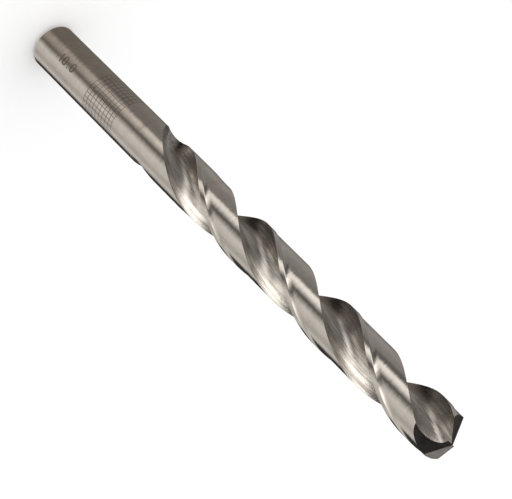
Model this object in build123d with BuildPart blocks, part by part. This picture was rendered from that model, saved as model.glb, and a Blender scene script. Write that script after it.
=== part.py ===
"""Twist drill bit: right-hand jobber drill with a cylindrical shank and a split point.

Millimetres. The origin is the centre of the shank's end face, +Z runs up the
axis to the point, and at the point the two lips lie parallel to X.
"""
from build123d import *

import os
from math import acos, asin, atan2, ceil, cos, degrees, pi, radians, sin, sqrt, tan

# ---- driving dimensions -------------------------------------------------
drill_diameter = 10.0
overall_length = 133.0
back_taper = 0.0005  # of diameter, for each millimetre back from the point
shank_length = 36.0
shank_chamfer = 0.9

# the flutes: pitch, section and where they run out into the shank
helix_angle = 30.8
bar_before_flutes = 0.9  # plain bar between the shank and where the flutes start
run_out_length = 6.4
flute_opening = 96.0
flute_wall_bulge = 0.6
flute_root_radius = 0.5
web_thickness = 1.2
web_taper = 0.0115

# the lands: a margin at full diameter, then a step down to the ground body
margin_width = 1.15
body_clearance = 0.22
clearance_fillet = 2.0
clearance_start = 54.0
clearance_run_in = 4.0

# the point: two lip facets, and a gash that thins the web behind each
point_angle = 135.0
lip_relief_angle = 18.0
gash_bearing = 72.0
gash_tilt = 51.0

# ---- how the cuts are made ----------------------------------------------
section_turn = 30.0  # degrees of helix between the sections of a loft
span_turn = 120.0  # degrees of helix in one loft, at most
rake_steps = 3  # stretches of the rake face's curve
root_offset = 0.15  # from the web to where the rake face's curve ends
tool_reach = 4.0  # how far the cutting solids stand outside the drill
wall_overrun = 20.0  # degrees that the flute wall's arc runs on past the heel
margin_lead = 10.0  # degrees that a rib stands ahead of its leading edge, into the flute
rib_sink = 0.03  # how far the step's arc runs into the ground body
rib_root = 1.5  # how far a rib reaches under the ground body

# ---- sizes worked out from them -----------------------------------------
radius = drill_diameter / 2
body_radius = radius - body_clearance
half_web = web_thickness / 2
shank_radius = radius - back_taper / 2 * (overall_length - shank_length)
flute_start = shank_length + bar_before_flutes
flute_depth = radius - half_web
helix_lead = pi * drill_diameter / tan(radians(helix_angle))
turn_per_mm = 360 / helix_lead
point_slope = tan(radians(90 - point_angle / 2))
lip_relief_slope = tan(radians(lip_relief_angle))
lip_reach = sqrt(radius**2 - half_web**2)
corner_height = overall_length - point_slope * lip_reach + lip_relief_slope * half_web
corner_bearing = degrees(asin(half_web / radius))
full_flute_height = flute_start + run_out_length
tool_top = overall_length + tool_reach


def polar(distance, bearing):
    """Point in a section, from its distance to the axis and its bearing in degrees."""
    return Vector(distance * cos(radians(bearing)), distance * sin(radians(bearing)))


def even_steps(low, high, count):
    """Values from low to high, both included, in that many equal steps."""
    return [low + (high - low) * i / count for i in range(count + 1)]


def rake_bearing(distance):
    """Bearing of the rake face in a section, ahead of the land's leading edge.

    The rake face is the helical path of a straight lip, so each of its points
    leaves the section plane at the height where the lip passes that distance.
    """
    along_lip = sqrt(distance**2 - half_web**2)
    ahead = degrees(asin(half_web / distance)) - corner_bearing
    return ahead - turn_per_mm * point_slope * (lip_reach - along_lip)


# ---- flute section --------------------------------------------------------
# Bearing 0 is the leading edge of the land behind the flute, and the heel of
# the land ahead of the flute is at the bearing of the opening.
rake_distances = even_steps(half_web + root_offset, radius, rake_steps) + [radius + tool_reach]
rake_points = [polar(distance, rake_bearing(distance)) for distance in rake_distances]
root_point = rake_points[0]
heel_point = polar(body_radius, flute_opening)
wall_chord = heel_point - root_point
bulge_side = wall_chord.normalized().rotate(Axis.Z, 90)
wall_radius = (wall_chord.length**2 / 4 + flute_wall_bulge**2) / (2 * flute_wall_bulge)
wall_centre = (heel_point + root_point) / 2 + bulge_side * (flute_wall_bulge - wall_radius)
wall_end = wall_centre + (heel_point - wall_centre).rotate(Axis.Z, -wall_overrun)
outer_heel_point = polar(radius + tool_reach, flute_opening)
outer_point = polar(2 * radius + tool_reach, flute_opening / 2)

with BuildSketch() as flute_section:
    with BuildLine():
        Spline(*rake_points)
        Polyline(rake_points[-1], outer_point, outer_heel_point, wall_end)
        ThreePointArc(wall_end, heel_point, root_point)
    make_face()
    root_corner = flute_section.vertices().sort_by_distance((0, 0))[0]
    fillet(root_corner, flute_root_radius)

# ---- margin section -----------------------------------------------------------
# Each margin is the top of a rib. The step down behind it is an arc that runs
# out almost level into the ground body.
step_centre_distance = body_radius + clearance_fillet - rib_sink
step_squares = step_centre_distance**2 + radius**2 - clearance_fillet**2
step_angle = degrees(acos(step_squares / (2 * step_centre_distance * radius)))
step_foot_bearing = -degrees(margin_width / radius) - step_angle
step_top_bearing = step_foot_bearing + degrees(asin(clearance_fillet / step_centre_distance))
step_top_distance = sqrt(step_centre_distance**2 - clearance_fillet**2)

with BuildSketch() as rib_section:
    with BuildLine():
        step_foot = polar(body_radius - rib_sink, step_foot_bearing)
        step_top = polar(step_top_distance, step_top_bearing)
        RadiusArc(step_foot, step_top, clearance_fillet)
        Line(step_top, polar(step_top_distance, margin_lead))
        Line(polar(step_top_distance, margin_lead), polar(body_radius - rib_root, margin_lead))
        Line(polar(body_radius - rib_root, margin_lead), polar(body_radius - rib_root, step_foot_bearing))
        Line(polar(body_radius - rib_root, step_foot_bearing), step_foot)
    make_face()


# ---- where the sections stand along the axis --------------------------------
def section_plane(height, side, shift):
    """Plane across the drill, turned with the helix to one side and shifted in that turn."""
    turn = side + corner_bearing + (height - corner_height) * turn_per_mm
    origin = shift.rotate(Axis.Z, turn)
    return Plane((origin.X, origin.Y, height), x_dir=polar(1, turn), z_dir=(0, 0, 1))


def flute_plane(height, side):
    """The flute moves along the lip as the web thickens, and lifts out at its run-out."""
    to_full_depth = max(full_flute_height - height, 0) / run_out_length
    thickening = polar(web_taper * (corner_height - height), 0)
    return section_plane(height, side, thickening + polar(flute_depth * to_full_depth**2, flute_opening / 2))


def margin_plane(height, side):
    """The margins keep their place in the turn."""
    return section_plane(height, side, Vector(0, 0))


def helical(section, plane_at, stretches, mode):
    """Add or cut a section's helical path, on both sides of the part being built."""
    for low, high in stretches:
        for side in (0, 180):
            stations = []
            for height in even_steps(low, high, ceil((high - low) * turn_per_mm / section_turn)):
                with BuildSketch(plane_at(height, side), mode=Mode.PRIVATE) as station:
                    add(section)
                stations.append(station.sketch.face())
            loft(stations, mode=mode)


def spans(low, high):
    """Stretches of helix, from low to high, that are each short enough to loft."""
    ends = even_steps(low, high, ceil((high - low) * turn_per_mm / span_turn))
    return list(zip(ends[:-1], ends[1:]))


# ---- the point ----------------------------------------------------------------
tip = (0, 0, overall_length)
near_facet = Plane(tip, z_dir=(point_slope, -lip_relief_slope, 1))
far_facet = Plane(tip, z_dir=(-point_slope, lip_relief_slope, 1))
gash_direction = polar(sin(radians(gash_tilt)), gash_bearing)
gash_floor = Plane(tip, z_dir=(gash_direction.X, gash_direction.Y, cos(radians(gash_tilt))))
chisel_bearing = degrees(atan2(point_slope, lip_relief_slope))
gash_wall = Plane(tip, z_dir=polar(1, chisel_bearing + 90))

with BuildPart() as gash_space:
    with BuildSketch(gash_floor):
        Rectangle(4 * drill_diameter, 4 * drill_diameter)
    extrude(amount=2 * drill_diameter)
    split(bisect_by=gash_wall, keep=Keep.TOP)

# ---- the drill ------------------------------------------------------------------
blank_radius = radius + body_clearance
blank_height = clearance_start - clearance_run_in
upright = (Align.CENTER, Align.CENTER, Align.MIN)

with BuildPart() as envelope:
    Cylinder(shank_radius, shank_length, align=upright)
    chamfer(envelope.edges().sort_by(Axis.Z)[0], shank_chamfer)
    with Locations((0, 0, shank_length)):
        Cone(shank_radius, radius, overall_length - shank_length, align=upright)

with BuildPart() as drill_bit:
    Cylinder(body_radius, overall_length, align=upright)
    Cylinder(blank_radius, blank_height, align=upright)
    with Locations((0, 0, blank_height)):
        Cone(blank_radius, body_radius, 2 * clearance_run_in, align=upright)
    helical(rib_section.sketch, margin_plane, spans(blank_height, tool_top), Mode.ADD)
    add(envelope.part, mode=Mode.INTERSECT)
    run_out = [(flute_start, full_flute_height)]
    helical(flute_section.sketch, flute_plane, run_out + spans(full_flute_height, tool_top), Mode.SUBTRACT)
    split(bisect_by=near_facet, keep=Keep.BOTTOM)
    split(bisect_by=far_facet, keep=Keep.BOTTOM)
    with PolarLocations(0, 2):
        add(gash_space.part, mode=Mode.SUBTRACT)

drill_bit.part.label = "drill_bit"
os.makedirs("parts", exist_ok=True)
export_step(drill_bit.part, "parts/drill_bit.step")
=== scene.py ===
"""Dresses a twist drill bit in ground steel, and builds a plain studio round it.

The drill stands on its shank end at the origin, with its point up +Z. Its mesh
is worked out in millimetres and scaled to metres at the end.
"""
import math

import bmesh
import bpy
import numpy as np
from mathutils import Matrix, Vector


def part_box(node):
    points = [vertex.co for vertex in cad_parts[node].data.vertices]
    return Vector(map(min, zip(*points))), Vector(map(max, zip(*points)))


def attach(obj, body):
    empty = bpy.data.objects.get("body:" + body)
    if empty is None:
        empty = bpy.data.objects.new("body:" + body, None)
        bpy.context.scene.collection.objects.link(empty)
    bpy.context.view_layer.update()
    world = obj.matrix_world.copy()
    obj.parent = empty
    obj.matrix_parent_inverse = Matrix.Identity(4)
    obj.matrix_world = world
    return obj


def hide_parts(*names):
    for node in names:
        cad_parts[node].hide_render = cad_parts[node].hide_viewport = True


bl_info = {
    "name": "Twist Drill Bit",
    "version": (1, 0, 0),
    "blender": (4, 5, 0),
    "location": "View3D > Sidebar > Drill",
    "description": "Builds a ground twist drill bit and a plain studio round it",
    "category": "Add Mesh",
}

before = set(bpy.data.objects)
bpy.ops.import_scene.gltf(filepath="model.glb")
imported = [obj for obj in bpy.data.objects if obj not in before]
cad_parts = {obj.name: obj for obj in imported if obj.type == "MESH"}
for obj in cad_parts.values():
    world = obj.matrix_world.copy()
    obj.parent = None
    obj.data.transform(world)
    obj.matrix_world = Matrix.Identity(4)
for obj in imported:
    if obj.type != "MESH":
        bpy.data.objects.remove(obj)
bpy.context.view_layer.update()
NODE = "drill_bit"
BODY = "root"
MM = 0.001
TAU = 2 * math.pi
WELD = 1e-5  # millimetres between points that count as one
LOW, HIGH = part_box(NODE)

# the mesh's material slots
GROUND, FLUTE, FACET, END = range(4)


# ---- settings ---------------------------------------------------------------
def length(name, description, default):
    """A length in metres."""
    return bpy.props.FloatProperty(
        name=name, description=description, default=default, unit="LENGTH", precision=6
    )


def angle(name, description, default):
    """An angle, with its default given in degrees."""
    return bpy.props.FloatProperty(
        name=name, description=description, default=math.radians(default), unit="ROTATION"
    )


def slope(name, description, default):
    """A slope, as a plain number."""
    return bpy.props.FloatProperty(
        name=name, description=description, default=default, subtype="FACTOR", precision=5
    )


def colour(name, description, default):
    """A colour without alpha."""
    return bpy.props.FloatVectorProperty(
        name=name, description=description, default=default, size=3, subtype="COLOR", min=0, max=1
    )


class DrillSizes(bpy.types.PropertyGroup):
    """Sizes of the drill."""

    diameter: length("Diameter", "Over the margins at the point", HIGH.x - LOW.x)
    overall: length("Overall length", "From the shank's end to the point", HIGH.z - LOW.z)
    back_taper: slope("Back taper", "Of diameter, for each unit of length", 0.0005)
    shank: length("Shank length", "Plain cylinder below the flutes", 36.0 * MM)
    chamfer: length("Shank chamfer", "On the edge of the end face", 0.9 * MM)
    helix: angle("Helix angle", "Of the leading edges", 30.8)
    bar: length("Bar before flutes", "From the shank to the flutes", 0.9 * MM)
    run_out: length("Run-out", "Length over which a flute rises to the surface", 6.4 * MM)
    opening: angle("Flute opening", "Between a leading edge and the heel ahead", 96.0)
    bulge: length("Wall bulge", "How far the flute's heel wall is hollowed", 0.6 * MM)
    root: length("Root radius", "At the bottom of a flute", 0.5 * MM)
    web: length("Web", "Thickness of the core at the point", 1.2 * MM)
    web_taper: slope("Web taper", "Growth of half the core, for each unit of length", 0.0115)
    margin: length("Margin", "Width at full diameter", 1.15 * MM)
    clearance: length("Body clearance", "Depth of the ground body behind a margin", 0.22 * MM)
    step: length("Step radius", "Of the fillet behind a margin", 7.0 * MM)
    clearance_start: length("Clearance start", "Where the ground body starts", 54.0 * MM)
    run_in: length("Clearance run-in", "Length over which it gets its depth", 4.0 * MM)
    point: angle("Point angle", "Between the lips", 135.0)
    relief: angle("Lip relief", "Fall of the facet behind a lip", 18.0)
    gash_bearing: angle("Gash bearing", "Direction that the gash's floor faces", 72.0)
    gash_tilt: angle("Gash tilt", "Of the gash's floor from level", 51.0)


class DrillFinish(bpy.types.PropertyGroup):
    """Colours of the drill's steel."""

    ground: colour("Ground steel", "Shank, lands and margins", (0.80, 0.755, 0.705))
    flute: colour("Flute steel", "Inside the flutes", (0.70, 0.665, 0.625))
    facet: colour("Facet steel", "Facets of the point", (0.66, 0.62, 0.585))
    etch: colour("Etched marks", "Lines of the grid and the number", (0.23, 0.19, 0.16))
    # dark deposits and specks, and also the painted shade along the flutes' roots
    soot_and_shade: colour("Dirt", "Dark deposits and specks", (0.10, 0.085, 0.075))


class StudioSettings(bpy.types.PropertyGroup):
    """The camera, with an azimuth that turns the light too."""

    azimuth: angle("Camera azimuth", "Side of the drill that the camera is on", 52.5)
    reach: length("Camera reach", "From the drill's axis to the camera, level", 0.30947)
    height: length("Camera height", "Of the camera above the floor", 0.286)
    tilt: angle("Camera tilt", "How far the camera looks down", 34.362)
    lean: angle("Camera lean", "Turn of the camera about its line of sight", 135.0)
    aside: length("Camera aside", "Of the camera from the drill's axis", -0.00015)
    lens: bpy.props.FloatProperty(
        name="Lens", description="Focal length", default=137.9, unit="CAMERA"
    )


class Marks:
    """The etched grid and number on the shank. Lengths are in millimetres."""

    GRID_FOOT = 20.1  # height of the lowest line
    GRID_ROWS = 9  # cells up the shank
    GRID_ROUND = 30  # cells round it
    GRID_PITCH = 1.15  # height of a cell
    GRID_LINE = 0.17  # width of a line
    NUMBER_CENTRE = 11.2  # height of its middle, as it reads up the shank
    NUMBER_BEARING = math.radians(57)
    FIGURE_HEIGHT = 1.7
    FIGURE_LINE = 0.34


# ---- the drill's form -------------------------------------------------------
def polar(distance, bearing):
    """Point in a section, from its distance to the axis and its bearing."""
    return np.array([distance * math.cos(bearing), distance * math.sin(bearing)])


def bearing_of(point):
    """Bearing of a point in a section."""
    return math.atan2(point[1], point[0])


def arc(centre, radius, low, high, count):
    """Points along an arc, both ends included."""
    return np.array([centre + polar(radius, a) for a in np.linspace(low, high, count)])


def swing(low, high):
    """Shortest turn from one bearing to another."""
    return (high - low + math.pi) % TAU - math.pi


class DrillForm:
    """The drill's sections, worked out from its sizes, in millimetres and radians.

    Bearing 0 in a section is the leading edge of the land behind a flute, and
    the heel of the land ahead of the flute is at the bearing of the opening.
    """

    SAMPLES = 700  # points in each run of a flute's profile
    ROOT_OFFSET = 0.15  # from the web to where the rake face's curve ends
    SINK = 0.001  # how far the step's arc runs into the ground body
    REACH = 1.5  # how far the profile stands outside the drill
    WALL_OVERRUN = math.radians(20)  # how far the heel wall's arc runs on past the heel

    def __init__(self, sizes):
        self.radius = sizes.diameter / MM / 2
        self.overall = sizes.overall / MM
        self.taper = sizes.back_taper / 2
        self.shank = sizes.shank / MM
        self.shank_radius = self.radius - self.taper * (self.overall - self.shank)
        self.chamfer = sizes.chamfer / MM
        self.clearance = sizes.clearance / MM
        self.clearance_start = sizes.clearance_start / MM
        self.run_in = sizes.run_in / MM
        self.flute_start = self.shank + sizes.bar / MM
        self.run_out = sizes.run_out / MM
        self.opening = sizes.opening
        self.half_web = sizes.web / MM / 2
        self.web_taper = sizes.web_taper
        self.turn_per_mm = math.tan(sizes.helix) / self.radius
        self.point_slope = math.tan(math.pi / 2 - sizes.point / 2)
        self.relief_slope = math.tan(sizes.relief)
        self.gash_bearing, self.gash_tilt = sizes.gash_bearing, sizes.gash_tilt
        self.lip_reach = math.sqrt(self.radius**2 - self.half_web**2)
        fall = self.point_slope * self.lip_reach - self.relief_slope * self.half_web
        self.corner_height = self.overall - fall
        self.corner_bearing = math.asin(self.half_web / self.radius)
        self.body_radius = self.radius - self.clearance
        self.step_radius = sizes.step / MM
        self.step_centre = self.body_radius + self.step_radius - self.SINK
        self.margin_turn = sizes.margin / MM / self.radius
        self.profile = self.flute_profile(sizes.bulge / MM, sizes.root / MM)
        self.touch = self.first_touch()

    def step_angle(self, distance):
        """Angle from the step arc's centre to where that arc is at a distance from the axis."""
        squares = self.step_centre**2 + distance**2 - self.step_radius**2
        return math.acos(squares / (2 * self.step_centre * distance))

    def step_bearing(self, distance):
        """Bearing of the step behind a land's margin, at a distance from the axis."""
        behind = self.step_angle(distance) - self.step_angle(self.radius)
        return math.pi - self.margin_turn + behind

    def rake_bearing(self, distance):
        """Bearing of the rake face, which is the helical path of a straight lip."""
        along_lip = math.sqrt(distance**2 - self.half_web**2)
        ahead = math.asin(self.half_web / distance) - self.corner_bearing
        return ahead - self.turn_per_mm * self.point_slope * (self.lip_reach - along_lip)

    def flute_profile(self, bulge, fillet):
        """Points down the rake face, round the root and out along the heel wall."""
        outermost, innermost = self.radius + self.REACH, self.half_web + self.ROOT_OFFSET
        reach = np.linspace(outermost, innermost, self.SAMPLES)
        rake = np.array([polar(d, self.rake_bearing(d)) for d in reach])
        root, heel = rake[-1], polar(self.body_radius, self.opening)
        chord = heel - root
        span = np.linalg.norm(chord)
        side = np.array([-chord[1], chord[0]]) / span
        wall_radius = (span**2 / 4 + bulge**2) / (2 * bulge)
        wall_centre = (heel + root) / 2 + side * (bulge - wall_radius)
        # the fillet's centre is as far from the rake face as from the wall's arc
        along = np.gradient(rake, axis=0)
        inward = np.stack([-along[:, 1], along[:, 0]], 1)
        inward *= (fillet / np.linalg.norm(inward, axis=1) * np.sign(inward[-1] @ chord))[:, None]
        centres = rake + inward
        miss = np.abs(np.linalg.norm(centres - wall_centre, axis=1) - (wall_radius - fillet))
        at = int(np.argmin(miss))
        middle = centres[at]
        start = bearing_of(rake[at] - middle)
        end = bearing_of(middle - wall_centre)
        root_run = arc(middle, fillet, start, start + swing(start, end), self.SAMPLES)
        stop = bearing_of(heel - wall_centre)
        sweep = swing(end, stop)
        sweep += math.copysign(self.WALL_OVERRUN, sweep)
        wall_run = arc(wall_centre, wall_radius, end, end + sweep, self.SAMPLES)
        self.root_from, self.wall_from = at + 1, at + 1 + self.SAMPLES
        self.root_point = root_run[self.SAMPLES // 2]
        self.root_facing = (middle - self.root_point) / fillet
        return np.vstack([rake[: at + 1], root_run, wall_run])

    def envelope(self, height):
        """Full radius at a height, with the chamfer and the back taper."""
        full = self.radius - self.taper * (self.overall - max(height, self.shank))
        return full - max(self.chamfer - height, 0)

    def body(self, height):
        """Radius of the land behind its margin."""
        run_in = self.radius - self.clearance * (height - self.clearance_start) / self.run_in
        return min(self.envelope(height), max(run_in, self.body_radius))

    def turn(self, height):
        """Turn of the section at a height, in the helix."""
        return self.corner_bearing + (height - self.corner_height) * self.turn_per_mm

    def shift(self, height):
        """How the flute moves in its section as the web thickens and at its run-out."""
        to_full = max(self.flute_start + self.run_out - height, 0) / self.run_out
        thickening = polar(self.web_taper * (self.corner_height - height), 0)
        return thickening + polar((self.radius - self.half_web) * to_full**2, self.opening / 2)

    def first_touch(self):
        """Height where the flute's profile first cuts into the bar."""
        low, high = self.flute_start, self.flute_start + self.run_out
        for _ in range(40):
            middle = (low + high) / 2
            depth = np.linalg.norm(self.profile + self.shift(middle), axis=1).min()
            low, high = (low, middle) if depth < self.envelope(middle) else (middle, high)
        return high

    def flute(self, height, counts):
        """The flute's points at a height, and the heel's point after them."""
        moved = self.profile + self.shift(height)
        distance = np.linalg.norm(moved, axis=1)
        outer, body = self.envelope(height), self.body(height)
        deepest = int(np.argmin(distance))
        rake_side = deepest - int(np.argmax(distance[deepest::-1] >= outer))
        wall_side = deepest + int(np.argmax(distance[deepest:] >= body))
        over = distance[rake_side] - outer
        low = rake_side + over / (distance[rake_side] - distance[rake_side + 1])
        over = distance[wall_side] - body
        high = wall_side - over / (distance[wall_side] - distance[wall_side - 1])
        marks = np.clip([low, self.root_from, self.wall_from, high], low, high)
        places = [np.linspace(a, b, n + 1)[:-1] for a, b, n in zip(marks[:-1], marks[1:], counts)]
        places = np.concatenate([*places, [high]])
        index = np.arange(len(moved))
        points = np.stack([np.interp(places, index, moved[:, k]) for k in (0, 1)], 1)
        return points[:-1], points[-1]

    def planes(self):
        """The point's two facets, as normals of planes through the tip."""
        facet = Vector((self.point_slope, -self.relief_slope, 1))
        return [facet, Matrix.Rotation(math.pi, 3, "Z") @ facet]


class Columns:
    """How many points the stretches of half a section have."""

    FLUTE = (18, 8, 22)  # rake, root, wall
    LAND = (36, 8, 7)  # ground body, step, margin
    HALF = sum(FLUTE) + sum(LAND)


def land(form, height, heel, lead):
    """The land's points, from the heel of one flute to the leading edge of the next."""
    outer, body = form.envelope(height), form.body(height)
    back, step, margin = Columns.LAND
    edge = math.pi + lead
    radii = np.concatenate([
        np.full(back, body), np.linspace(body, outer, step + 1)[:-1], np.full(margin, outer),
    ])
    formed = np.concatenate([
        np.linspace(heel, form.step_bearing(body), back + 1)[:-1],
        [form.step_bearing(distance) for distance in radii[back : back + step]],
        np.linspace(form.step_bearing(outer), edge, margin + 1)[:-1],
    ])
    # below the clearance the points spread evenly round the bar
    even = np.linspace(heel, edge, len(radii) + 1)[:-1]
    start = form.clearance_start - 2 * form.run_in
    formed_share = min(max((height - start) / form.run_in, 0), 1)
    bearings = even + (formed - even) * formed_share
    return np.stack([radii * np.cos(bearings), radii * np.sin(bearings)], 1)


def section(form, height):
    """One closed section of the drill: its points in order round the axis."""
    at = max(height, form.touch)
    flute, heel = form.flute(at, Columns.FLUTE)
    half = np.vstack([flute, land(form, at, bearing_of(heel), bearing_of(flute[0]))])
    turn = form.turn(at)
    half = half @ np.array([[math.cos(turn), math.sin(turn)], [-math.sin(turn), math.cos(turn)]])
    points = np.vstack([half, -half])
    if height < form.touch:  # no flute yet, so the points are set out on the round bar
        points *= (form.envelope(height) / np.linalg.norm(points, axis=1))[:, None]
    return points


class Rows:
    """How many heights the stretches of the drill have sections at."""

    SHANK, RUN_OUT, FLUTED = 13, 41, 235


def stations(form):
    """Heights of the sections: sparse on the shank, and closest where a flute starts."""
    spare = 1.0  # above the point, to be ground off
    full = form.flute_start + form.run_out
    shank = np.linspace(form.chamfer, form.shank, Rows.SHANK)
    run_out = form.touch + (full - form.touch) * np.linspace(0, 1, Rows.RUN_OUT) ** 2
    fluted = np.linspace(full, form.overall + spare, Rows.FLUTED)
    return [0, *shank, *run_out, *fluted[1:]]


def blank(form):
    """The fluted bar as a closed mesh, before its point is ground."""
    bm = bmesh.new()
    rows = [[bm.verts.new((x, y, z)) for x, y in section(form, z)] for z in stations(form)]
    count = 2 * Columns.HALF
    for below, above in zip(rows[:-1], rows[1:]):
        for i in range(count):
            j = (i + 1) % count
            face = bm.faces.new((below[i], below[j], above[j], above[i]))
            face.material_index = FLUTE if i % Columns.HALF < sum(Columns.FLUTE) else GROUND
    bm.faces.new(rows[0][::-1]).material_index = END
    bm.faces.new(rows[-1]).material_index = FACET
    bmesh.ops.remove_doubles(bm, verts=bm.verts, dist=WELD)
    return bm


def grind(bm, tip, normal):
    """Cut off what lies beyond a plane through the tip, and close the cut with a facet."""
    cut = bmesh.ops.bisect_plane(
        bm, geom=bm.verts[:] + bm.edges[:] + bm.faces[:], dist=WELD,
        plane_co=tip, plane_no=normal, clear_outer=True,
    )
    rim = [e for e in cut["geom_cut"] if isinstance(e, bmesh.types.BMEdge)]
    filled = bmesh.ops.triangle_fill(bm, edges=rim, use_beauty=True, normal=normal)
    for face in filled["geom"]:
        if isinstance(face, bmesh.types.BMFace):
            face.material_index = FACET


def gash_block(form, side):
    """The space that one gash takes: above its floor, and behind the chisel edge's plane."""
    reach = 4 * form.radius
    bearing = form.gash_bearing + side
    floor = Vector((*polar(math.sin(form.gash_tilt), bearing), math.cos(form.gash_tilt)))
    chisel = math.atan2(form.point_slope, form.relief_slope) + side
    wall = Vector((*polar(1, chisel + math.pi / 2), 0))
    ridge = floor.cross(wall).normalized()
    across = floor.cross(ridge).normalized()
    across *= math.copysign(1, across.dot(wall))
    tip = Vector((0, 0, form.overall))
    lift = Vector((0, 0, 2 * reach))
    bm = bmesh.new()
    rows = []
    for end in (-reach, reach):
        near = tip + ridge * end
        far = near + across * reach
        rows.append([bm.verts.new(corner) for corner in (near, far, far + lift, near + lift)])
    for i in range(4):
        j = (i + 1) % 4
        bm.faces.new((rows[0][i], rows[0][j], rows[1][j], rows[1][i]))
    for row in rows:
        bm.faces.new(row)
    bmesh.ops.recalc_face_normals(bm, faces=bm.faces)
    for face in bm.faces:
        face.material_index = FACET
    return bm


def add_object(name, bm, materials):
    """Link a new object with the mesh and its materials."""
    mesh = bpy.data.meshes.new(name)
    bm.to_mesh(mesh)
    bm.free()
    for material in materials:
        mesh.materials.append(material)
    obj = bpy.data.objects.new(name, mesh)
    bpy.context.scene.collection.objects.link(obj)
    return obj


def subtract(obj, cutters):
    """Cut other objects out of one, and leave the result as its own mesh."""
    for cutter in cutters:
        modifier = obj.modifiers.new(cutter.name, "BOOLEAN")
        modifier.object, modifier.operation, modifier.solver = cutter, "DIFFERENCE", "EXACT"
    evaluated = obj.evaluated_get(bpy.context.evaluated_depsgraph_get())
    mesh = bpy.data.meshes.new_from_object(evaluated)
    obj.modifiers.clear()
    obj.data = mesh
    for cutter in cutters:
        bpy.data.objects.remove(cutter)


def shade(obj, crisp_angle):
    """Shade the mesh smooth, and keep crisp the edges between its surfaces."""
    bm = bmesh.new()
    bm.from_mesh(obj.data)
    bmesh.ops.dissolve_degenerate(bm, dist=WELD, edges=bm.edges)
    for face in bm.faces:
        face.smooth = True
    for edge in bm.edges:
        slots = {face.material_index for face in edge.link_faces}
        edge.smooth = len(slots) == 1 and edge.calc_face_angle(math.pi) < crisp_angle
    bm.to_mesh(obj.data)
    bm.free()


# ---- shader graphs ----------------------------------------------------------
class Value:
    """A shader socket that takes arithmetic with numbers and other values."""

    def __init__(self, graph, socket):
        self.graph, self.socket = graph, socket

    def __add__(self, other):
        return self.graph.maths("ADD", self, other)

    def __sub__(self, other):
        return self.graph.maths("SUBTRACT", self, other)

    def __rsub__(self, other):
        return self.graph.maths("SUBTRACT", other, self)

    def __mul__(self, other):
        return self.graph.maths("MULTIPLY", self, other)

    def __abs__(self):
        return self.graph.maths("ABSOLUTE", self)

    __radd__, __rmul__ = __add__, __mul__


class Graph:
    """The nodes of one material or world."""

    def __init__(self, tree):
        self.tree = tree
        tree.nodes.clear()

    def node(self, kind, settings=None, inputs=None, output=0):
        """Add a node: its settings first, then the values or links of its sockets."""
        node = self.tree.nodes.new("ShaderNode" + kind)
        for name, value in (settings or {}).items():
            setattr(node, name, value)
        for name, value in (inputs or {}).items():
            if isinstance(value, Value):
                self.tree.links.new(value.socket, node.inputs[name])
            else:
                node.inputs[name].default_value = value
        return Value(self, node.outputs[output]) if node.outputs else None

    def maths(self, operation, *values):
        return self.node("Math", {"operation": operation}, dict(enumerate(values)))

    def combine(self, x, y, z):
        return self.node("CombineXYZ", None, {"X": x, "Y": y, "Z": z})

    def parts(self, vector):
        """The X, Y and Z of a vector."""
        return [self.node("SeparateXYZ", None, {"Vector": vector}, k) for k in range(3)]

    def vector(self, operation, *values, output="Vector"):
        return self.node("VectorMath", {"operation": operation}, dict(enumerate(values)), output)

    def scaled(self, vector, factor):
        return self.node("VectorMath", {"operation": "SCALE"}, {0: vector, "Scale": factor})

    def mix(self, factor, first, second):
        """Blend two colours."""
        colours = {6: first, 7: second}
        for key, value in colours.items():
            if not isinstance(value, Value):
                colours[key] = (*value[:3], 1)
        return self.node("Mix", {"data_type": "RGBA"}, {0: factor, **colours}, 2)

    def ease(self, value, low, high, to_low=0.0, to_high=1.0):
        """A smooth step: one value below a range, another above it."""
        inputs = {"Value": value, "From Min": low, "From Max": high}
        inputs.update({"To Min": to_low, "To Max": to_high})
        return self.node("MapRange", {"interpolation_type": "SMOOTHSTEP"}, inputs)

    def fade(self, value, low, high):
        """A smooth step down, from 1 below a range to 0 above it."""
        return self.ease(value, low, high, 1.0, 0.0)

    def band(self, value, low, high, soft):
        """1 between two values, falling to 0 over a soft border."""
        risen = self.ease(value, low - soft, low + soft)
        return risen * self.fade(value, high - soft, high + soft)

    def noise(self, vector, scale, detail, roughness=0.55):
        """Smooth noise of about 0 to 1."""
        inputs = {"Vector": vector, "Scale": scale, "Detail": detail, "Roughness": roughness}
        return self.node("TexNoise", {"noise_dimensions": "3D"}, inputs)

    def drawn_noise(self, parts, rates, detail, roughness=0.55):
        """Noise drawn out by its own rate of change along each of three parts."""
        drawn = self.combine(*(part * rate for part, rate in zip(parts, rates)))
        return self.noise(drawn, 1.0, detail, roughness)


# ---- materials --------------------------------------------------------------
def new_material(name):
    """A material, and the graph of its nodes."""
    material = bpy.data.materials.new(name)
    material.use_nodes = True
    return material, Graph(material.node_tree)


def place(graph):
    """Where a point is on the drill, in millimetres."""
    coordinates = graph.node("TexCoord", None, None, "Object")
    return graph.scaled(coordinates, 1 / MM)


def steel(graph, base, roughness, normal):
    """The shader of bare steel."""
    inputs = {"Base Color": base, "Roughness": roughness, "Metallic": 1.0, "Normal": normal}
    shader = graph.node("BsdfPrincipled", None, inputs)
    graph.node("OutputMaterial", None, {"Surface": shader})


def bumped(graph, height, depth, normal=None):
    """Normal from a height in millimetres."""
    inputs = {"Height": height, "Strength": 1.0, "Distance": depth * MM}
    if normal is not None:
        inputs["Normal"] = normal
    return graph.node("Bump", None, inputs)


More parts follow.
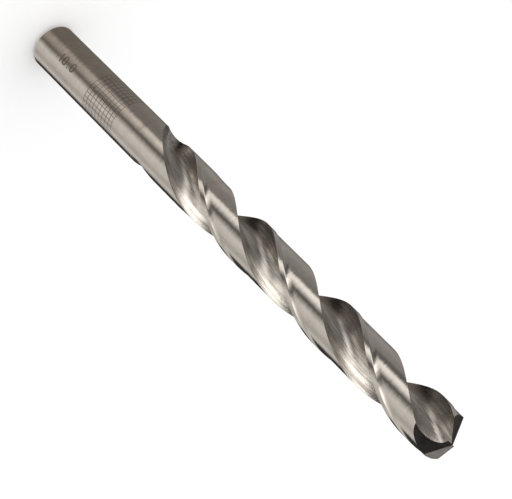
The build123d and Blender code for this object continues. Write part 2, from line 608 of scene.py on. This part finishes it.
def etched_grid(graph, bearing, height):
    """A grid of fine lines round the shank: 1 on a line and 0 off it."""
    column = bearing * (Marks.GRID_ROUND / TAU)
    row = (height - Marks.GRID_FOOT) * (1 / Marks.GRID_PITCH)
    half = Marks.GRID_LINE / Marks.GRID_PITCH / 2
    lines = []
    for cell in (column, row):
        off = abs(cell - graph.maths("ROUND", cell))
        lines.append(graph.fade(off, half * 0.6, half * 1.6))
    inside = graph.band(row, -half, Marks.GRID_ROWS + half, 0.02)
    return graph.maths("MAXIMUM", *lines) * inside


def etched_number(graph, along, across):
    """The figures 10.0, centred where both distances are 0: 1 on a figure and 0 off it."""
    half, line = Marks.FIGURE_HEIGHT / 2, Marks.FIGURE_LINE
    # where the figures stand along the row, and a nought's half width and corner radius
    one, dot, noughts = -2.6 * half, 0.7 * half, (-1.0 * half, 2.4 * half)
    nought_half, corner = 0.55 * half, 0.45 * half

    def stroke(distance):
        return graph.fade(distance, line * 0.2, line * 0.8)

    def beyond(value, limit):
        return graph.maths("MAXIMUM", abs(value) - limit, 0.0)

    def span(a, b):
        return graph.vector("LENGTH", graph.combine(a, b, 0.0), output="Value")

    total = stroke(span(along - one, beyond(across, half)))
    total = graph.maths("MAXIMUM", total, stroke(span(along - dot, across + half)))
    for centre in noughts:
        sides = beyond(along - centre, nought_half - corner)
        outline = span(sides, beyond(across, half - corner))
        total = graph.maths("MAXIMUM", total, stroke(abs(outline - corner)))
    return total


def ground_material(finish, form):
    """Ground steel of the shank, the lands and the margins, with the etched marks."""
    material, graph = new_material("ground_steel")
    point = place(graph)
    parts = graph.parts(point)
    x, y, z = parts
    # grinding marks run round the drill: slow change round it, fast change along it
    fine = graph.drawn_noise(parts, (0.22, 0.22, 7.0), 4.0, 0.7)
    coarse = graph.drawn_noise(parts, (0.14, 0.14, 2.4), 3.0, 0.6)
    # they also turn the shine a little to and fro, round the drill
    tangent = graph.combine(y * -0.2, x * 0.2, 0.0)
    facing = graph.node("NewGeometry", None, None, "Normal")
    sideways = graph.scaled(tangent, (fine - 0.5) * 0.20 + (coarse - 0.5) * 0.08)
    ruffled = graph.vector("NORMALIZE", graph.vector("ADD", facing, sideways))
    stain = graph.drawn_noise(parts, (0.5, 0.5, 0.35), 3.0)
    specks = graph.ease(graph.noise(point, 2.6, 2.0, 0.5), 0.70, 0.76)
    bearing = graph.maths("ARCTAN2", y, x)
    grid = etched_grid(graph, bearing, z)
    across = (bearing - Marks.NUMBER_BEARING) * -form.shank_radius
    figures = etched_number(graph, z - Marks.NUMBER_CENTRE, across)
    tone = graph.ease(fine * 0.5 + stain * 0.5, 0.3, 0.7, 0.78, 1.0)
    base = graph.mix(tone, (0.30, 0.27, 0.25), finish.ground)
    base = graph.mix(specks * 0.5, base, finish.soot_and_shade)
    base = graph.mix(graph.maths("MAXIMUM", grid * 0.74, figures * 0.9), base, finish.etch)
    roughness = graph.ease(coarse, 0.3, 0.7, 0.09, 0.16) + grid * 0.2 + figures * 0.3
    height = fine * 0.5 - grid * 0.4 - figures * 0.8
    steel(graph, base, roughness, bumped(graph, height, 0.006, ruffled))
    return material


def flute_material(finish, form):
    """Steel of the flutes, with the wheel's marks, dirt and pits, and painted shade along the
    root.
    """
    material, graph = new_material("flute_steel")
    point = place(graph)
    x, y, z = graph.parts(point)
    # where a point is in its section, in a frame that turns with the helix
    turn = form.turn(z)
    c, s = graph.maths("COSINE", turn), graph.maths("SINE", turn)
    u, v = x * c + y * s, y * c - x * s
    # the wheel's marks run along the helix
    fine = graph.drawn_noise((u, v, z), (3.4, 3.4, 0.16), 4.0, 0.7)
    broad = graph.drawn_noise((u, v, z), (1.3, 1.3, 0.08), 2.0)
    stain = graph.drawn_noise((u, v, z), (0.6, 0.6, 0.25), 3.0, 0.6)
    pits = graph.ease(graph.noise(point, 3.4, 2.0, 0.5), 0.67, 0.74)
    streak = graph.ease(fine * 0.55 + broad * 0.45, 0.38, 0.66)
    base = graph.mix(streak * 0.62, finish.flute, finish.soot_and_shade)
    base = graph.mix(graph.ease(stain, 0.5, 0.75) * 0.35, base, finish.soot_and_shade)
    base = graph.mix(pits * 0.7, base, finish.soot_and_shade)
    # the root moves out along the lip as the web thickens
    root_u, root_v = form.root_point
    side = graph.maths("SIGN", u * root_u + v * root_v)
    root_u = root_u + (form.corner_height - z) * form.web_taper
    from_root = graph.combine(u * side - root_u, v * side - root_v, 0.0)
    from_root = graph.vector("LENGTH", from_root, output="Value")
    # painted shade: the dark colour is mixed in along the flute's root, standing in for the shade
    # in that recess
    root_shade = graph.fade(from_root + (fine - 0.5) * 0.4, 0.1, 0.4)
    base = graph.mix(root_shade * 0.2, base, finish.soot_and_shade)
    # near the root the normal turns part of the way to the root's own, for a soft shine
    own_u, own_v = form.root_facing
    own_x, own_y = c * own_u - s * own_v, s * own_u + c * own_v
    own = graph.combine(own_x * side, own_y * side, 0.0)
    share = graph.ease(from_root, 0.25, 1.3, 0.5, 0.0)
    facing = graph.node("NewGeometry", None, None, "Normal")
    softened = graph.vector("ADD", graph.scaled(facing, 1 - share), graph.scaled(own, share))
    softened = graph.vector("NORMALIZE", softened)
    roughness = graph.ease(broad, 0.3, 0.7, 0.25, 0.34) + pits * 0.2
    height = fine + broad * 0.25 - pits * 0.5
    steel(graph, base, roughness, bumped(graph, height, 0.03, softened))
    return material


def facet_material(finish):
    """Ground steel of the point's facets and gashes."""
    material, graph = new_material("facet_steel")
    point = place(graph)
    x, y, z = graph.parts(point)
    across = graph.noise(graph.combine(x + y * 6.0, z * 6.0, 0.0), 1.0, 3.0, 0.6)
    stain = graph.noise(point, 0.8, 3.0)
    dirt = graph.ease(across * 0.6 + stain * 0.4, 0.35, 0.7) * 0.4
    base = graph.mix(dirt, finish.facet, finish.soot_and_shade)
    roughness = graph.ease(stain, 0.3, 0.7, 0.13, 0.22)
    steel(graph, base, roughness, bumped(graph, across, 0.012))
    return material


def end_material(finish):
    """Turned steel of the shank's end."""
    material, graph = new_material("end_steel")
    point = place(graph)
    x, y, z = graph.parts(point)
    radius = graph.vector("LENGTH", graph.combine(x, y, 0.0), output="Value")
    rings = graph.noise(graph.combine(radius * 7.0, z * 0.2, 0.0), 1.0, 3.0)
    stain = graph.noise(point, 0.7, 3.0)
    dirt = graph.ease(rings * 0.5 + stain * 0.5, 0.35, 0.7) * 0.4
    base = graph.mix(dirt, finish.ground, finish.soot_and_shade)
    roughness = graph.ease(stain, 0.3, 0.7, 0.26, 0.4)
    steel(graph, base, roughness, bumped(graph, rings, 0.012))
    return material


def floor_material():
    """Matt and nearly white."""
    material, graph = new_material("pale_floor")
    grain = graph.noise(graph.node("TexCoord", None, None, "Object"), 3.0, 2.0)
    base = graph.mix(grain, (0.93, 0.93, 0.93), (0.95, 0.95, 0.95))
    shader = graph.node("BsdfPrincipled", None, {"Base Color": base, "Roughness": 1.0})
    graph.node("OutputMaterial", None, {"Surface": shader})
    return material


# ---- operators ----------------------------------------------------------------
class DRILL_OT_body(bpy.types.Operator):
    """Build the drill bit and its steel"""

    bl_idname = "drill.body"
    bl_label = "Drill bit"

    CRISP_ANGLE = math.radians(28)

    def execute(self, context):
        form = DrillForm(context.scene.drill_sizes)
        finish = context.scene.drill_finish
        materials = [
            ground_material(finish, form), flute_material(finish, form),
            facet_material(finish), end_material(finish),
        ]
        bm = blank(form)
        tip = Vector((0, 0, form.overall))
        for normal in form.planes():
            grind(bm, tip, normal)
        drill = add_object("drill_bit_body", bm, materials)
        gashes = [
            add_object(f"gash_{n}", gash_block(form, n * math.pi), materials) for n in range(2)
        ]
        subtract(drill, gashes)
        shade(drill, self.CRISP_ANGLE)
        drill.data.transform(Matrix.Scale(MM, 4))
        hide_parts(NODE)
        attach(drill, BODY)
        return {"FINISHED"}


class DRILL_OT_stage(bpy.types.Operator):
    """Build the floor, the light and the camera"""

    bl_idname = "drill.stage"
    bl_label = "Studio"

    FLOOR = 6.0  # side of the floor, in metres
    SENSOR = 36.0  # width of the camera's sensor, in millimetres

    def execute(self, context):
        scene, studio = context.scene, context.scene.drill_studio
        bpy.ops.mesh.primitive_plane_add(size=self.FLOOR, location=(0, 0, 0))
        floor = context.object
        floor.name = "pale_floor"
        floor.data.materials.append(floor_material())
        floor.visible_glossy = False

        side = Vector((math.cos(studio.azimuth), math.sin(studio.azimuth), 0))
        across = Vector((math.sin(studio.azimuth), -math.cos(studio.azimuth), 0))
        camera_data = bpy.data.cameras.new("camera")
        camera = bpy.data.objects.new("camera", camera_data)
        scene.collection.objects.link(camera)
        camera_data.sensor_width = self.SENSOR
        camera_data.lens = studio.lens
        back = side * math.cos(studio.tilt) + Vector((0, 0, math.sin(studio.tilt)))
        along = Vector((0, 0, math.cos(studio.tilt))) - side * math.sin(studio.tilt)
        roll = studio.lean - math.pi / 2
        right = across * math.cos(roll) + along * math.sin(roll)
        up = back.cross(right)
        turn = Matrix((right, up, back)).transposed().to_4x4()
        spot = side * studio.reach + across * studio.aside + Vector((0, 0, studio.height))
        camera.matrix_world = Matrix.Translation(spot) @ turn
        camera_data.clip_start, camera_data.clip_end = 0.01, 20
        scene.camera = camera
        scene.view_settings.view_transform = "Standard"
        scene.world = studio_world(studio)
        return {"FINISHED"}


def bright_cards(graph, bearing, rise):
    """The key card, the dark gap after it, and the pale card after that."""
    high = graph.ease(rise, -26, 2)
    gap = graph.ease(rise, -28, 0, 96, 79)  # bearing of the gap
    key = graph.fade(bearing - gap, -32, 3)
    pale = graph.ease(bearing - gap, -4, 40)
    # above level the gap is filled in
    filled = (1 - key) * (1 - pale) * graph.ease(rise, -6, 5)
    level = key * (high * 1.6 + 1.02) + pale * (high * 1.7 + 0.74) + filled * 2.4 + 0.08
    # all of it is darker further round, in a stripe and for good, and ends behind the drill
    level = level * (1 - graph.fade(abs(bearing - 177), 4, 22) * 0.22)
    level = level * (1 - graph.ease(bearing, 104, 160) * (high * 0.5 + 0.24))
    return level * graph.ease(bearing, 206, 228, 1.0, 0.06)


def grey_side(graph, bearing, rise, start):
    """Dim light before the key card starts, with a darker stripe along its edge."""
    level = graph.ease(bearing, -90, -30, 0.10, 0.34) - graph.ease(bearing, -30, 20) * 0.08
    level = level - graph.ease(rise, -22, -2) * 0.14
    stripe = graph.fade(abs(bearing - start + 15), 4, 17) * graph.band(rise, -31, -14, 4)
    return level * (1 - stripe * 0.6)


def low_light(graph, bearing, rise):
    """Dim light from well below level, lighter near the camera's side."""
    spoke = graph.fade(abs(bearing - 72), 8, 34)
    return 0.165 - graph.band(rise, -74, -54, 5) * 0.16 + spoke * 0.16


def studio_world(studio):
    """Even light for what is dull, and a few broad soft cards for the steel to reflect.

    The cards are placed in degrees, by their rise above level and by their
    bearing, from -90 to 270. The bearing is 90 towards the camera, and 0 to the
    right of a camera that stands there upright.
    """
    world = bpy.data.worlds.new("studio")
    world.use_nodes = True
    graph = Graph(world.node_tree)
    x, y, z = graph.parts(graph.node("TexCoord", None, None, "Generated"))
    c, s = math.cos(studio.azimuth), math.sin(studio.azimuth)
    bearing = graph.maths("ARCTAN2", x * c + y * s, x * s - y * c) * (360 / TAU)
    bearing = bearing + 360 * graph.maths("LESS_THAN", bearing, -90)
    rise = graph.maths("ARCSINE", z) * (360 / TAU)

    start = graph.ease(rise, -2, 20, 52, -30)  # bearing where the key card starts
    keyed = graph.ease(bearing - start, -8, 8)
    top = graph.ease(bearing, 55, 140, 40, 0)  # rise where the cards end
    capped = graph.fade(rise - top, -5, 5)
    foot = graph.ease(bearing, 80, 130, -39, -47)  # rise where they begin
    raised = graph.ease(rise - foot, -4, 4)

    bright = bright_cards(graph, bearing, rise) * keyed
    dim = grey_side(graph, bearing, rise, start) * (1 - keyed)
    low = low_light(graph, bearing, rise)
    # a faint strip just over the cards, and a card straight above the drill
    overhead = (1 - capped) * graph.fade(rise, 28, 38) * 0.05 + graph.ease(rise, 66, 84) * 0.75
    side_card = graph.band(bearing, 236, 264, 5) * graph.band(rise, 4, 26, 4) * 0.25
    light = (bright + dim) * capped * raised + low * (1 - raised) + overhead + side_card

    plain = graph.node("Background", None, {"Color": (1, 1, 1, 1), "Strength": 1.12})
    tint = graph.mix(raised, (1.0, 0.87, 0.76), (1.0, 0.962, 0.915))
    carded = graph.node("Background", None, {"Color": tint, "Strength": light})
    glossy = graph.node("LightPath", None, None, "Is Glossy Ray")
    both = graph.node("MixShader", None, {0: glossy, 1: plain, 2: carded})
    graph.node("OutputWorld", None, {"Surface": both})
    return world


class DRILL_PT_panel(bpy.types.Panel):
    """The drill's sizes, its colours and its operators"""

    bl_label = "Twist Drill Bit"
    bl_space_type = "VIEW_3D"
    bl_region_type = "UI"
    bl_category = "Drill"

    def draw(self, context):
        layout, scene = self.layout, context.scene
        for group in (scene.drill_sizes, scene.drill_finish, scene.drill_studio):
            box = layout.box()
            for name in group.__annotations__:
                box.prop(group, name)
        for operator in OPERATORS:
            layout.operator(operator.bl_idname)


OPERATORS = (DRILL_OT_body, DRILL_OT_stage)
GROUPS = {"drill_sizes": DrillSizes, "drill_finish": DrillFinish, "drill_studio": StudioSettings}


def register():
    for cls in (*GROUPS.values(), *OPERATORS, DRILL_PT_panel):
        bpy.utils.register_class(cls)
    for name, group in GROUPS.items():
        setattr(bpy.types.Scene, name, bpy.props.PointerProperty(type=group))


def unregister():
    for name in GROUPS:
        delattr(bpy.types.Scene, name)
    for cls in (DRILL_PT_panel, *OPERATORS, *GROUPS.values()):
        bpy.utils.unregister_class(cls)


def main():
    register()
    bpy.ops.drill.body()
    bpy.ops.drill.stage()


if __name__ == "__main__":
    main()
